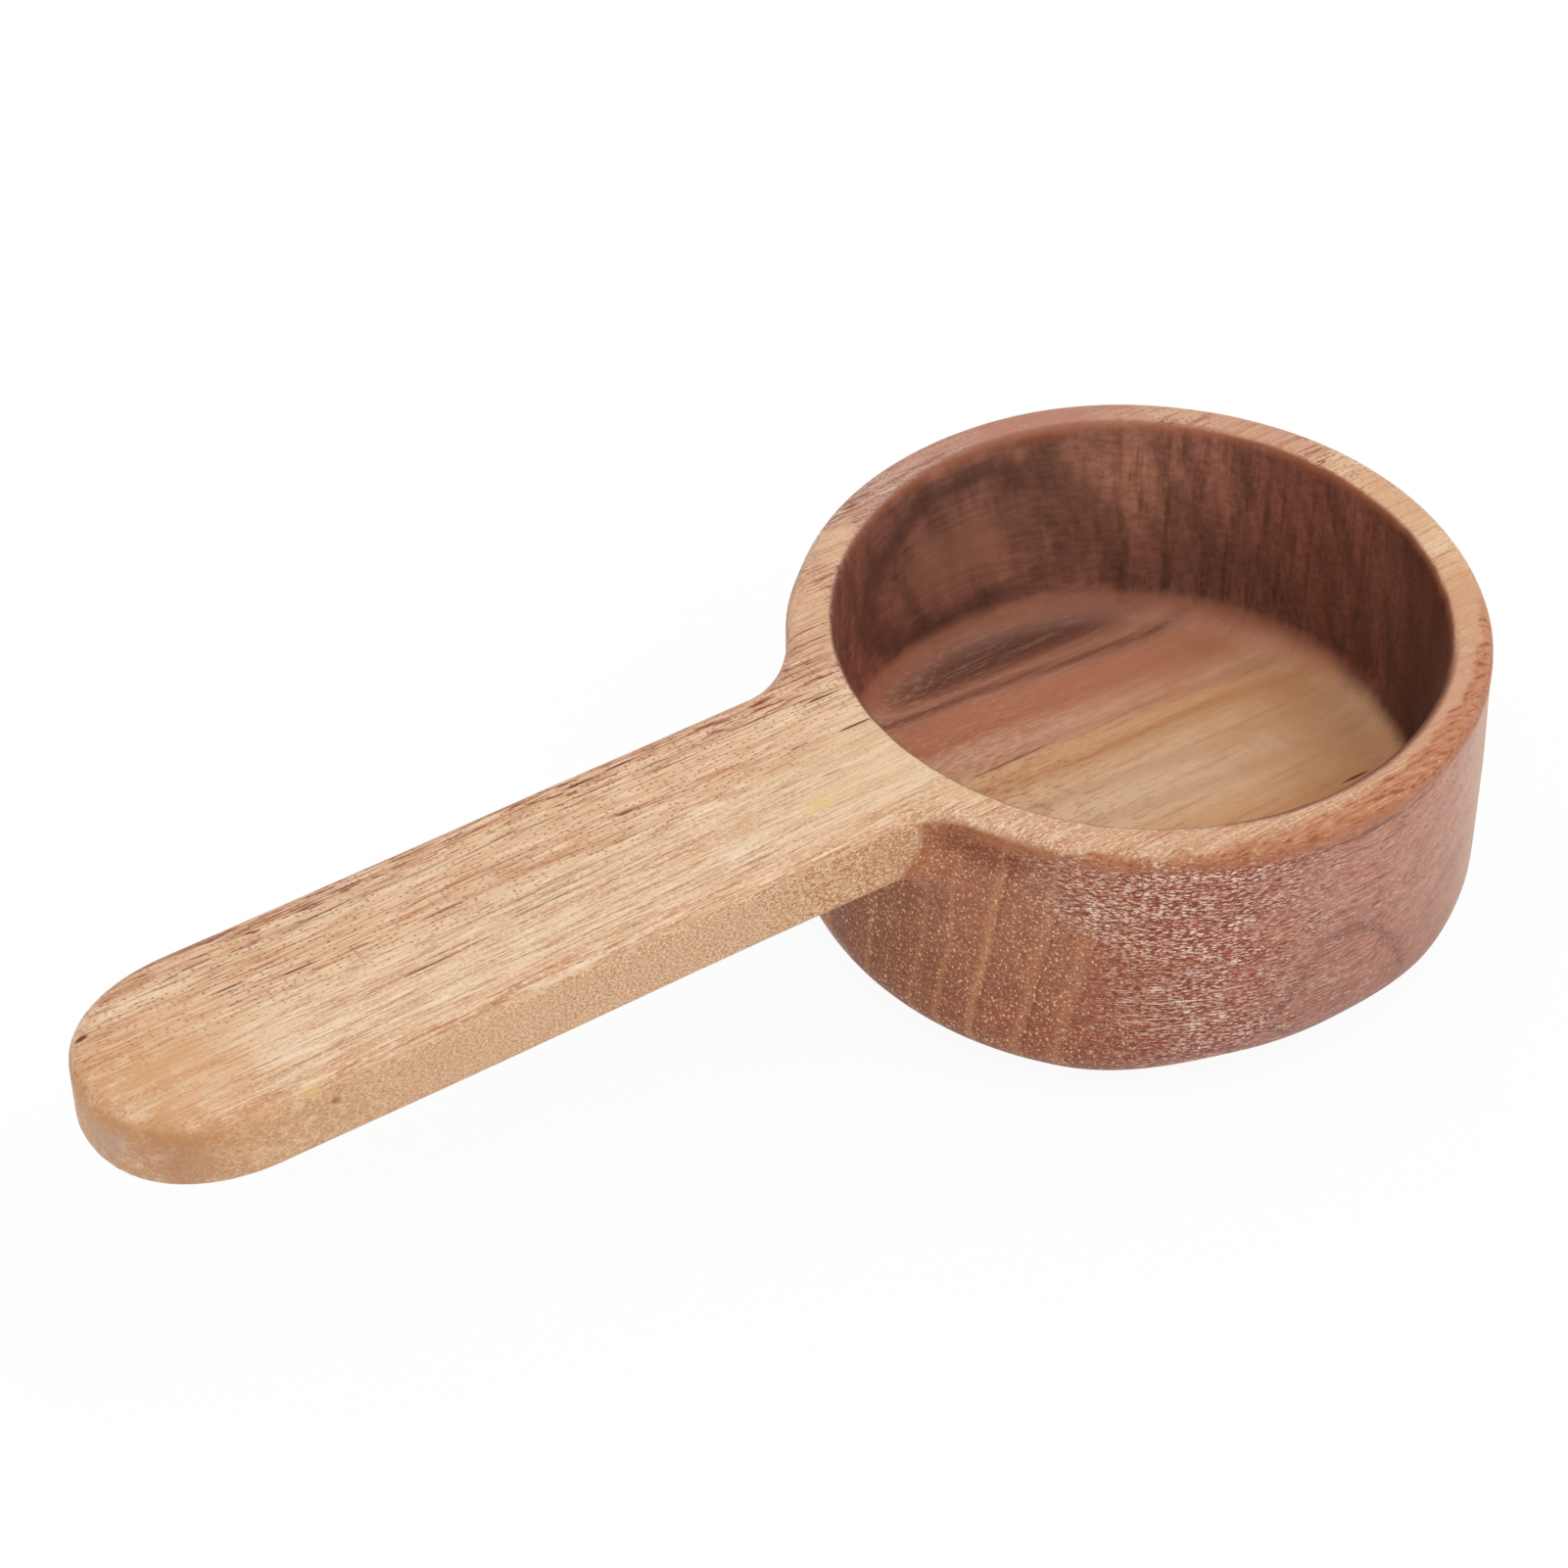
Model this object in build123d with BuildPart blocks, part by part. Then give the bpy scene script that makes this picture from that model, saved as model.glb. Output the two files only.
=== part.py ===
"""A one-piece wooden measuring spoon: a round, thick-walled bowl with a flat strip handle.

The whole spoon is cut from one billet of hardwood, with the grain running along the handle.
The origin is the centre of the flat face that the bowl stands on, +Z is up through the mouth,
and the handle points along -X. All sizes are in millimetres.
"""

import os

from build123d import *

# Bowl
bowl_radius = 26.0
bowl_height = 24.7
wall_thickness = 3.4
floor_thickness = 6.0
base_edge_radius = 6.0
floor_edge_radius = 3.0
rim_outer_radius = 1.2
rim_inner_radius = 0.8

# Handle
handle_reach = 87.3
handle_neck_width = 17.5
handle_tip_width = 17.1
handle_thickness = 6.1
handle_edge_radius = 1.2
tip_length = 10.5
neck_radius = 3.2

# How far the tip's outline bulges towards its square corner: 0.552 is an ellipse, 1 a square.
tip_fullness_share = 0.605

# Sizes that follow from the ones above
bore_radius = bowl_radius - wall_thickness
bore_depth = bowl_height - floor_thickness
handle_underside = bowl_height - handle_thickness
neck_half_width = handle_neck_width / 2
tip_half_width = handle_tip_width / 2
shoulder_reach = handle_reach - tip_length
nose_bulge = tip_fullness_share * tip_half_width
shoulder_bulge = tip_fullness_share * tip_length

os.makedirs("parts", exist_ok=True)

# The spoon, cut from one piece of wood
with BuildPart() as spoon_body:

    # Strip handle, level with the rim, running in from its tip to the bowl's axis
    with BuildSketch(Plane.XY.offset(handle_underside)):
        with BuildLine():
            neck_line = Line((0, neck_half_width), (-bowl_radius, neck_half_width))
            side_line = Line(neck_line @ 1, (-shoulder_reach, tip_half_width))
            Bezier(
                side_line @ 1,
                (-shoulder_reach - shoulder_bulge, tip_half_width),
                (-handle_reach, nose_bulge),
                (-handle_reach, 0),
            )
            mirror(about=Plane.XZ)
            Line((0, neck_half_width), (0, -neck_half_width))
        make_face()
    extrude(amount=handle_thickness)
    underside = spoon_body.faces().sort_by(Axis.Z)[0]
    fillet(underside.edges().sort_by(Axis.X)[:-1], handle_edge_radius)

    # Round bowl, with the wide soft edge that it stands on
    with BuildSketch():
        Circle(bowl_radius)
    extrude(amount=bowl_height)
    fillet(spoon_body.edges().group_by(Axis.Z)[0], base_edge_radius)

    # Hollow neck, where the bowl's wall sweeps into the handle's sides and underside
    wall = spoon_body.faces().filter_by(GeomType.CYLINDER).sort_by(Axis.X)[-1]
    neck_edges = wall.edges().filter_by_position(Axis.Z, 0, bowl_height, inclusive=(False, False))
    fillet(neck_edges, neck_radius)

    # Measuring hollow, with its rounded floor edge
    with BuildSketch(Plane.XY.offset(bowl_height)):
        Circle(bore_radius)
    extrude(amount=-bore_depth, mode=Mode.SUBTRACT)
    floor_face = spoon_body.faces().filter_by(Axis.Z).group_by(Axis.Z)[1]
    fillet(floor_face.edges(), floor_edge_radius)

    # Eased edges of the rim and of the handle's top
    top_face = spoon_body.faces().sort_by(Axis.Z)[-1]
    fillet(top_face.outer_wire().edges(), rim_outer_radius)
    top_face = spoon_body.faces().sort_by(Axis.Z)[-1]
    fillet(top_face.inner_wires()[0].edges(), rim_inner_radius)

spoon_body.part.label = "spoon_body"
export_step(spoon_body.part, "parts/spoon_body.step")
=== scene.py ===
"""The looks of a one-piece wooden measuring spoon: its carved form, its wood, and a plain studio.

The spoon is cut from one billet with the grain along X. Its form is a rule, written once as a
distance field: a soft-edged drum, a strip handle, a hollow neck and a measuring hollow. The wood is
one solid pattern in the billet's own coordinates, so rings and pores run on from face to face.
Places and sizes are in millimetres, and Blender's lengths are in metres.
"""

from __future__ import annotations

import logging
import math
from collections.abc import Callable
from dataclasses import dataclass
from enum import Enum

import bpy
from mathutils import Matrix
from mathutils import Vector

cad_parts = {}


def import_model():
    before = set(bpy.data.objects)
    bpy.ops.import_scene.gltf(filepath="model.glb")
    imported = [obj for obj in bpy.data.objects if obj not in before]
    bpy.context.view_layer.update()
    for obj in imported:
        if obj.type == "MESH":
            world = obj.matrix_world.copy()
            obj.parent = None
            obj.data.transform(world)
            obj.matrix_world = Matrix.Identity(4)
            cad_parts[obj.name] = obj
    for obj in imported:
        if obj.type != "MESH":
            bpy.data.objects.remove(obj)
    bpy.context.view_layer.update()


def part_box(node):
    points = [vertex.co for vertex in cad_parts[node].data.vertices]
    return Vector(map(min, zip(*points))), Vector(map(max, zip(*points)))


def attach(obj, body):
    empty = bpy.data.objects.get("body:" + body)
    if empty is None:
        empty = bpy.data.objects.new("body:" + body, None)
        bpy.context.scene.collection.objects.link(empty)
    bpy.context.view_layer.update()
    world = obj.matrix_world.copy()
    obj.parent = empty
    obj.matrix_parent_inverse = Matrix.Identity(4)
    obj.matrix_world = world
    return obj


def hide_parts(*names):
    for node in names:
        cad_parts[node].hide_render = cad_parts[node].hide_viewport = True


log = logging.getLogger("spoon")

MM = 0.001
SPOON_NODE = "spoon_body"
SPOON_PIECE = "carved_spoon"

# Heights of the marks on the rim and on the hollow's floor, in millimetres
RIM = 24.7
FLOOR = 6.0

Tree = bpy.types.NodeTree
Socket = bpy.types.NodeSocket
Triple = tuple[float, float, float]


def operator(operation: str, swapped: bool = False) -> Callable[[Amount, Number], Amount]:
    """One of Amount's operators with another number.

    Args:
        operation: The arithmetic node's operation, by its own name.
        swapped: Whether the other number comes first.

    Returns:
        The method, which adds the node.
    """

    def method(self: Amount, other: Number) -> Amount:
        """The operation's result."""
        values = (other, self) if swapped else (self, other)
        return calculate(self.tree, operation, *values)

    return method


@dataclass(frozen=True, eq=False)
class Amount:
    """A number that changes from place to place: the output of a node, with arithmetic.

    Attributes:
        tree: The node tree that the number lives in.
        socket: The output socket that gives the number.
    """

    tree: Tree
    socket: Socket

    __add__ = operator("ADD")
    __radd__ = operator("ADD", swapped=True)
    __sub__ = operator("SUBTRACT")
    __rsub__ = operator("SUBTRACT", swapped=True)
    __mul__ = operator("MULTIPLY")
    __truediv__ = operator("DIVIDE")
    __pow__ = operator("POWER")

    def __neg__(self) -> Amount:
        """The number with its sign turned round."""
        return calculate(self.tree, "SUBTRACT", 0.0, self)

    def __abs__(self) -> Amount:
        """The number without its sign."""
        return calculate(self.tree, "ABSOLUTE", self)


Number = Amount | float


def feed(tree: Tree, socket: Socket, value: object) -> None:
    """Gives a node's input its value.

    Args:
        tree: The tree that the node is in.
        socket: The input socket.
        value: An Amount or an output socket, which is linked, or a plain value, which is set.
    """
    if isinstance(value, Amount):
        tree.links.new(value.socket, socket)
    elif isinstance(value, Socket):
        tree.links.new(value, socket)
    else:
        socket.default_value = value


def add(tree: Tree, kind: str, inputs: dict[str | int, object], **settings: object) -> bpy.types.Node:
    """Adds one node.

    Args:
        tree: The tree that gets the node.
        kind: The node's type.
        inputs: What its inputs are fed with, by their names or places.
        **settings: Its other settings.

    Returns:
        The node.
    """
    node = tree.nodes.new(kind)
    for name, setting in settings.items():
        setattr(node, name, setting)
    for name, value in inputs.items():
        feed(tree, node.inputs[name], value)
    return node


def calculate(tree: Tree, operation: str, *values: Number) -> Amount:
    """Adds one arithmetic node.

    Args:
        tree: The tree that gets the node.
        operation: The node's operation, by its own name.
        *values: The numbers that it works on, in order.

    Returns:
        The result.
    """
    node = add(tree, "ShaderNodeMath", dict(enumerate(values)), operation=operation)
    return Amount(tree, node.outputs[0])


def largest(first: Amount, second: Number) -> Amount:
    """The larger of two numbers."""
    return calculate(first.tree, "MAXIMUM", first, second)


def smallest(first: Amount, second: Number) -> Amount:
    """The smaller of two numbers."""
    return calculate(first.tree, "MINIMUM", first, second)


def root(value: Amount) -> Amount:
    """The square root."""
    return calculate(value.tree, "SQRT", value)


def span(*parts: Amount) -> Amount:
    """The straight distance that several legs, square to each other, add up to.

    Args:
        *parts: The legs.

    Returns:
        The distance.
    """
    total = parts[0] * parts[0]
    for part in parts[1:]:
        total = total + part * part
    return root(total)


def ramp(value: Amount, start: float, end: float, low: float = 0.0, high: float = 1.0) -> Amount:
    """A smooth step.

    Args:
        value: The number that drives the step.
        start: Where the step begins.
        end: Where it ends. It may lie below start, and the step then falls.
        low: The result up to start.
        high: The result from end on.

    Returns:
        A number from low to high.
    """
    limits = (value, start, end, low, high) if end > start else (value, end, start, high, low)
    inputs = dict(zip(("Value", "From Min", "From Max", "To Min", "To Max"), limits))
    node = add(value.tree, "ShaderNodeMapRange", inputs, interpolation_type="SMOOTHSTEP")
    return Amount(value.tree, node.outputs[0])


def split(tree: Tree, vector: Socket) -> tuple[Amount, Amount, Amount]:
    """The three parts of a vector."""
    node = add(tree, "ShaderNodeSeparateXYZ", {0: vector})
    return tuple(Amount(tree, socket) for socket in node.outputs[:3])


def join(tree: Tree, x: Number, y: Number, z: Number) -> Socket:
    """One vector from three numbers."""
    return add(tree, "ShaderNodeCombineXYZ", {0: x, 1: y, 2: z}).outputs[0]


def joined_round(first: Amount, second: Amount, radius: Number) -> Amount:
    """The distance to two solids as one, with a hollow corner of this radius between them."""
    reach = span(largest(radius - first, 0.0), largest(radius - second, 0.0))
    return largest(smallest(first, second), radius) - reach


def cut_round(first: Amount, second: Amount, radius: Amount) -> Amount:
    """The distance to what two solids have in common, with an edge eased to this radius."""
    reach = span(largest(first + radius, 0.0), largest(second + radius, 0.0))
    return smallest(largest(first, second), -radius) + reach


@dataclass(frozen=True)
class HandMark:
    """A place where the hand work left the wood fuller or rounder than the plain form.

    Attributes:
        middle: Its middle, across the wood or in all three directions.
        reach: How far from the middle it ends.
        heart: How far from the middle it is full.
        most: What it adds at its heart.
        least: What it adds past its reach.
    """

    middle: tuple[float, ...]
    reach: float
    heart: float
    most: float
    least: float = 0.0

    def at(self, place: tuple[Amount, ...]) -> Amount:
        """What it adds at a place."""
        away = span(*(part - middle for part, middle in zip(place, self.middle)))
        return ramp(away, self.reach, self.heart, self.least, self.most)


@dataclass
class CarvedSpoon:
    """The whole spoon as one closed carved mesh, at the CAD model's sizes.

    Attributes:
        low: Lowest corner of the CAD node, in metres.
        high: Highest corner of the CAD node, in metres.
        handle_edge_radius: Eased edge of the handle's underside, crisper than the CAD model's.
        tip_roundness: Power of the tip's outline, where 2 is an ellipse.
        far_neck_extra: How much larger the neck's radius is on the far side.
        hand_wobble: The most that the sander took away.
        wobble_length: How far apart its hollows lie.
        mesh_step: Length of the mesh's edges.
        margin_steps: Room round the spoon that the carving field takes, in such lengths.
        slope_step: How far beside a point the form's slope is felt.
        seed: Start of the sander's random hollows.
    """

    low: Vector
    high: Vector
    wall_thickness: float = 3.4
    floor_thickness: float = 6.0
    base_edge_radius: float = 6.0
    floor_edge_radius: float = 3.0
    rim_outer_radius: float = 1.2
    rim_inner_radius: float = 0.8
    handle_neck_width: float = 17.5
    handle_tip_width: float = 17.1
    handle_thickness: float = 6.1
    handle_edge_radius: float = 0.8
    tip_length: float = 10.5
    tip_roundness: float = 2.17
    neck_radius: float = 3.2
    far_neck_extra: float = 1.2
    fuller_side: HandMark = HandMark((-22.5, 13.0), 9.0, 2.0, 0.35)
    fuller_front: HandMark = HandMark((20.5, -16.0, 10.0), 13.0, 4.0, 0.25)
    rounder_foot: HandMark = HandMark((-3.6, -25.7), 17.0, 4.0, 1.1, -1.0)
    hand_wobble: float = 0.1
    wobble_length: float = 21.0
    mesh_step: float = 0.45
    margin_steps: float = 2.5
    slope_step: float = 0.05
    least_steepness: float = 0.25
    seed: float = 4.0

    @property
    def bowl_radius(self) -> float:
        """Outside radius of the bowl, in millimetres."""
        return self.high.x / MM

    @property
    def bowl_height(self) -> float:
        """Height of the bowl, in millimetres."""
        return self.high.z / MM

    @property
    def handle_reach(self) -> float:
        """Distance from the bowl's axis to the handle's tip, in millimetres."""
        return -self.low.x / MM

    @property
    def sizes(self) -> dict[str, float]:
        """The sizes that the form's rule needs, by the names of its inputs."""
        return {
            "Bowl Radius": self.bowl_radius,
            "Bowl Height": self.bowl_height,
            "Hollow Radius": self.bowl_radius - self.wall_thickness,
            "Floor Height": self.floor_thickness,
            "Base Edge": self.base_edge_radius,
            "Floor Edge": self.floor_edge_radius,
            "Rim Edge": self.rim_outer_radius,
            "Mouth Edge": self.rim_inner_radius,
            "Handle Reach": self.handle_reach,
            "Neck Half Width": self.handle_neck_width / 2,
            "Tip Half Width": self.handle_tip_width / 2,
            "Tip Length": self.tip_length,
            "Handle Underside": self.bowl_height - self.handle_thickness,
            "Handle Edge": self.handle_edge_radius,
            "Neck Radius": self.neck_radius,
            "Hand Wobble": self.hand_wobble,
        }

    @staticmethod
    def _take_in(tree: Tree, sizes: dict[str, float]) -> bpy.types.Node:
        """Gives a tree one number input for each size, and adds its input node.

        Args:
            tree: The tree.
            sizes: The inputs' values by name.

        Returns:
            The input node.
        """
        for name, value in sizes.items():
            socket = tree.interface.new_socket(name, in_out="INPUT", socket_type="NodeSocketFloat")
            socket.default_value = value
        return tree.nodes.new("NodeGroupInput")

    def form_rule(self) -> Tree:
        """Writes the spoon's form as a node group.

        Returns:
            A group that takes a place and the sizes, and gives the distance to the spoon's surface
            in millimetres, negative inside the wood.
        """
        tree = bpy.data.node_groups.new("spoon_form", "GeometryNodeTree")
        tree.interface.new_socket("Place", in_out="INPUT", socket_type="NodeSocketVector")
        tree.interface.new_socket("Distance", in_out="OUTPUT", socket_type="NodeSocketFloat")
        source = self._take_in(tree, self.sizes)
        size = {name: Amount(tree, source.outputs[name]) for name in self.sizes}
        x, y, z = split(tree, source.outputs["Place"])

        neck_radius = size["Neck Radius"] + ramp(y, -2.0, 3.0, 0.0, self.far_neck_extra)
        body = joined_round(self._drum(size, x, y, z), self._strip(size, x, y, z), neck_radius)
        topped = cut_round(body, z - size["Bowl Height"], size["Rim Edge"])
        hollow = cut_round(span(x, y) - size["Hollow Radius"], size["Floor Height"] - z, size["Floor Edge"])
        carved = cut_round(topped, -hollow, size["Mouth Edge"])
        distance = carved + self._wobble(tree, source.outputs["Place"], z, size["Hand Wobble"])

        add(tree, "NodeGroupOutput", {"Distance": distance})
        return tree

    def _drum(self, size: dict[str, Amount], x: Amount, y: Amount, z: Amount) -> Amount:
        """Distance to the bowl's outside, with the wide soft edge at its foot and no top.

        Args:
            size: The form's sizes by name.
            x: Place along the handle.
            y: Place across it.
            z: Height.

        Returns:
            The distance, negative inside.
        """
        fuller = self.fuller_side.at((x, y)) + self.fuller_front.at((x, y, z))
        edge = size["Base Edge"] + self.rounder_foot.at((x, y))
        return cut_round(span(x, y) - size["Bowl Radius"] - fuller, -z, edge)

    def _strip(self, size: dict[str, Amount], x: Amount, y: Amount, z: Amount) -> Amount:
        """Distance to the strip handle, which ends inside the bowl, with no top.

        Args:
            size: The form's sizes by name.
            x: Place along the handle.
            y: Place across it.
            z: Height.

        Returns:
            The distance, negative inside.
        """
        shoulder = size["Handle Reach"] - size["Tip Length"]
        taper = (-x - size["Bowl Radius"]) / (shoulder - size["Bowl Radius"])
        half_width = size["Neck Half Width"] + (size["Tip Half Width"] - size["Neck Half Width"]) * taper
        along = largest(-x - shoulder, 0.0) / size["Tip Length"]
        across = abs(y) / half_width
        power = self.tip_roundness
        ring = largest((along**power + across**power) ** (1 / power), 0.01)
        slope_along = ((along / ring) ** (power - 1)) / size["Tip Length"]
        slope_across = ((across / ring) ** (power - 1)) / half_width
        outline = (ring - 1.0) / largest(span(slope_along, slope_across), 0.01)
        outline = largest(outline, x)
        return cut_round(outline, size["Handle Underside"] - z, size["Handle Edge"])

    def _wobble(self, tree: Tree, place: Socket, z: Amount, depth: Amount) -> Amount:
        """How much wood the sander took away here, nothing at the foot.

        Args:
            tree: The form's tree.
            place: The place in millimetres.
            z: Its height.
            depth: The most that was taken.

        Returns:
            A depth from zero to the most.
        """
        inputs = {"Vector": place, "W": self.seed, "Scale": 1 / self.wobble_length, "Detail": 1.0}
        noise = add(tree, "ShaderNodeTexNoise", inputs, noise_dimensions="4D")
        spread = ramp(Amount(tree, noise.outputs[0]), 0.25, 0.75)
        return spread * depth * ramp(z, 0.5, 4.0)

    def carving_tree(self) -> Tree:
        """Writes the tree that carves the form: a field of distances, its skin, then its surface.

        Returns:
            The tree, with the sizes, the mesh step and the material as inputs.
        """
        rule = self.form_rule()
        tree = bpy.data.node_groups.new("spoon_carving", "GeometryNodeTree")
        tree.interface.new_socket("Wood", in_out="INPUT", socket_type="NodeSocketMaterial")
        tree.interface.new_socket("Spoon", in_out="OUTPUT", socket_type="NodeSocketGeometry")
        source = self._take_in(tree, self.sizes | {"Mesh Step": self.mesh_step})

        def distance_at(place: Socket) -> Amount:
            """The form's rule, asked at one place in millimetres."""
            inputs = {"Place": place} | {name: source.outputs[name] for name in self.sizes}
            return Amount(tree, add(tree, "GeometryNodeGroup", inputs, node_tree=rule).outputs["Distance"])

        x, y, z = split(tree, tree.nodes.new("GeometryNodeInputPosition").outputs[0])
        x, y, z = x / MM, y / MM, z / MM
        distance = distance_at(join(tree, x, y, z))

        skin = self._skin(tree, source, distance)
        seated = self._seat(tree, skin, distance, distance_at, (x, y, z))
        smooth = add(tree, "GeometryNodeSetShadeSmooth", {"Geometry": seated})
        real = add(tree, "GeometryNodeRealizeInstances", {"Geometry": smooth.outputs[0]})
        inputs = {"Geometry": real.outputs[0], "Material": source.outputs["Wood"]}
        dressed = add(tree, "GeometryNodeSetMaterial", inputs)
        add(tree, "NodeGroupOutput", {"Spoon": dressed.outputs[0]})
        return tree

    def _skin(self, tree: Tree, source: bpy.types.Node, distance: Amount) -> Socket:
        """A closed mesh on the field's zero level.

        Args:
            tree: The carving tree.
            source: Its input node.
            distance: The field of distances.

        Returns:
            The mesh.
        """
        names = ("Mesh Step", "Bowl Radius", "Bowl Height", "Handle Reach")
        step, radius, height, reach = (Amount(tree, source.outputs[name]) for name in names)
        margin = step * self.margin_steps
        low = (-(reach + margin), -(radius + margin), -margin)
        high = (radius + margin, radius + margin, height + margin)
        inputs = {
            "Density": -distance,
            "Background": -1.0,
            "Min": join(tree, *(value * MM for value in low)),
            "Max": join(tree, *(value * MM for value in high)),
        }
        for axis, least, most in zip("XYZ", low, high):
            inputs[f"Resolution {axis}"] = calculate(tree, "CEIL", (most - least) / step)
        block = add(tree, "GeometryNodeVolumeCube", inputs)
        shell = add(tree, "GeometryNodeVolumeToMesh", {"Volume": block.outputs[0], "Threshold": 0.0})
        return shell.outputs[0]

    def _seat(
        self,
        tree: Tree,
        skin: Socket,
        distance: Amount,
        distance_at: Callable[[Socket], Amount],
        place: tuple[Amount, Amount, Amount],
    ) -> Socket:
        """Moves each point of the skin onto the true surface, along the field's slope.

        Args:
            tree: The carving tree.
            skin: The mesh.
            distance: The distance at each point.
            distance_at: Asks the rule at another place.
            place: The point's three parts in millimetres.

        Returns:
            The mesh with its points seated.
        """
        slopes = []
        for axis in range(3):
            beside = [part + self.slope_step if i == axis else part for i, part in enumerate(place)]
            slopes.append((distance_at(join(tree, *beside)) - distance) / self.slope_step)
        along, across, upward = slopes
        steepness = along * along + across * across + upward * upward
        push = -distance * MM / largest(steepness, self.least_steepness)
        offset = join(tree, *(slope * push for slope in slopes))
        return add(tree, "GeometryNodeSetPosition", {"Geometry": skin, "Offset": offset}).outputs[0]

    def build(self, wood: bpy.types.Material) -> bpy.types.Object:
        """Carves the spoon as a plain mesh and puts it in the CAD node's place.

        Args:
            wood: The material that it is carved from.

        Returns:
            The finished piece.
        """
        tree = self.carving_tree()
        blank = bpy.data.objects.new("blank", bpy.data.meshes.new("blank"))
        bpy.context.scene.collection.objects.link(blank)
        modifier = blank.modifiers.new("carving", "NODES")
        modifier.node_group = tree
        sockets = {item.name: item.identifier for item in tree.interface.items_tree}
        for name, value in (self.sizes | {"Mesh Step": self.mesh_step}).items():
            modifier[sockets[name]] = float(value)
        modifier[sockets["Wood"]] = wood
        graph = bpy.context.evaluated_depsgraph_get()
        mesh = bpy.data.meshes.new_from_object(blank.evaluated_get(graph), depsgraph=graph)
        mesh.name = SPOON_PIECE
        bpy.data.objects.remove(blank)
        piece = bpy.data.objects.new(SPOON_PIECE, mesh)
        bpy.context.scene.collection.objects.link(piece)
        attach(piece, "root")
        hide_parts(SPOON_NODE)
        log.info("%s: %d points, %d faces", piece.name, len(mesh.vertices), len(mesh.polygons))
        return piece


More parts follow.
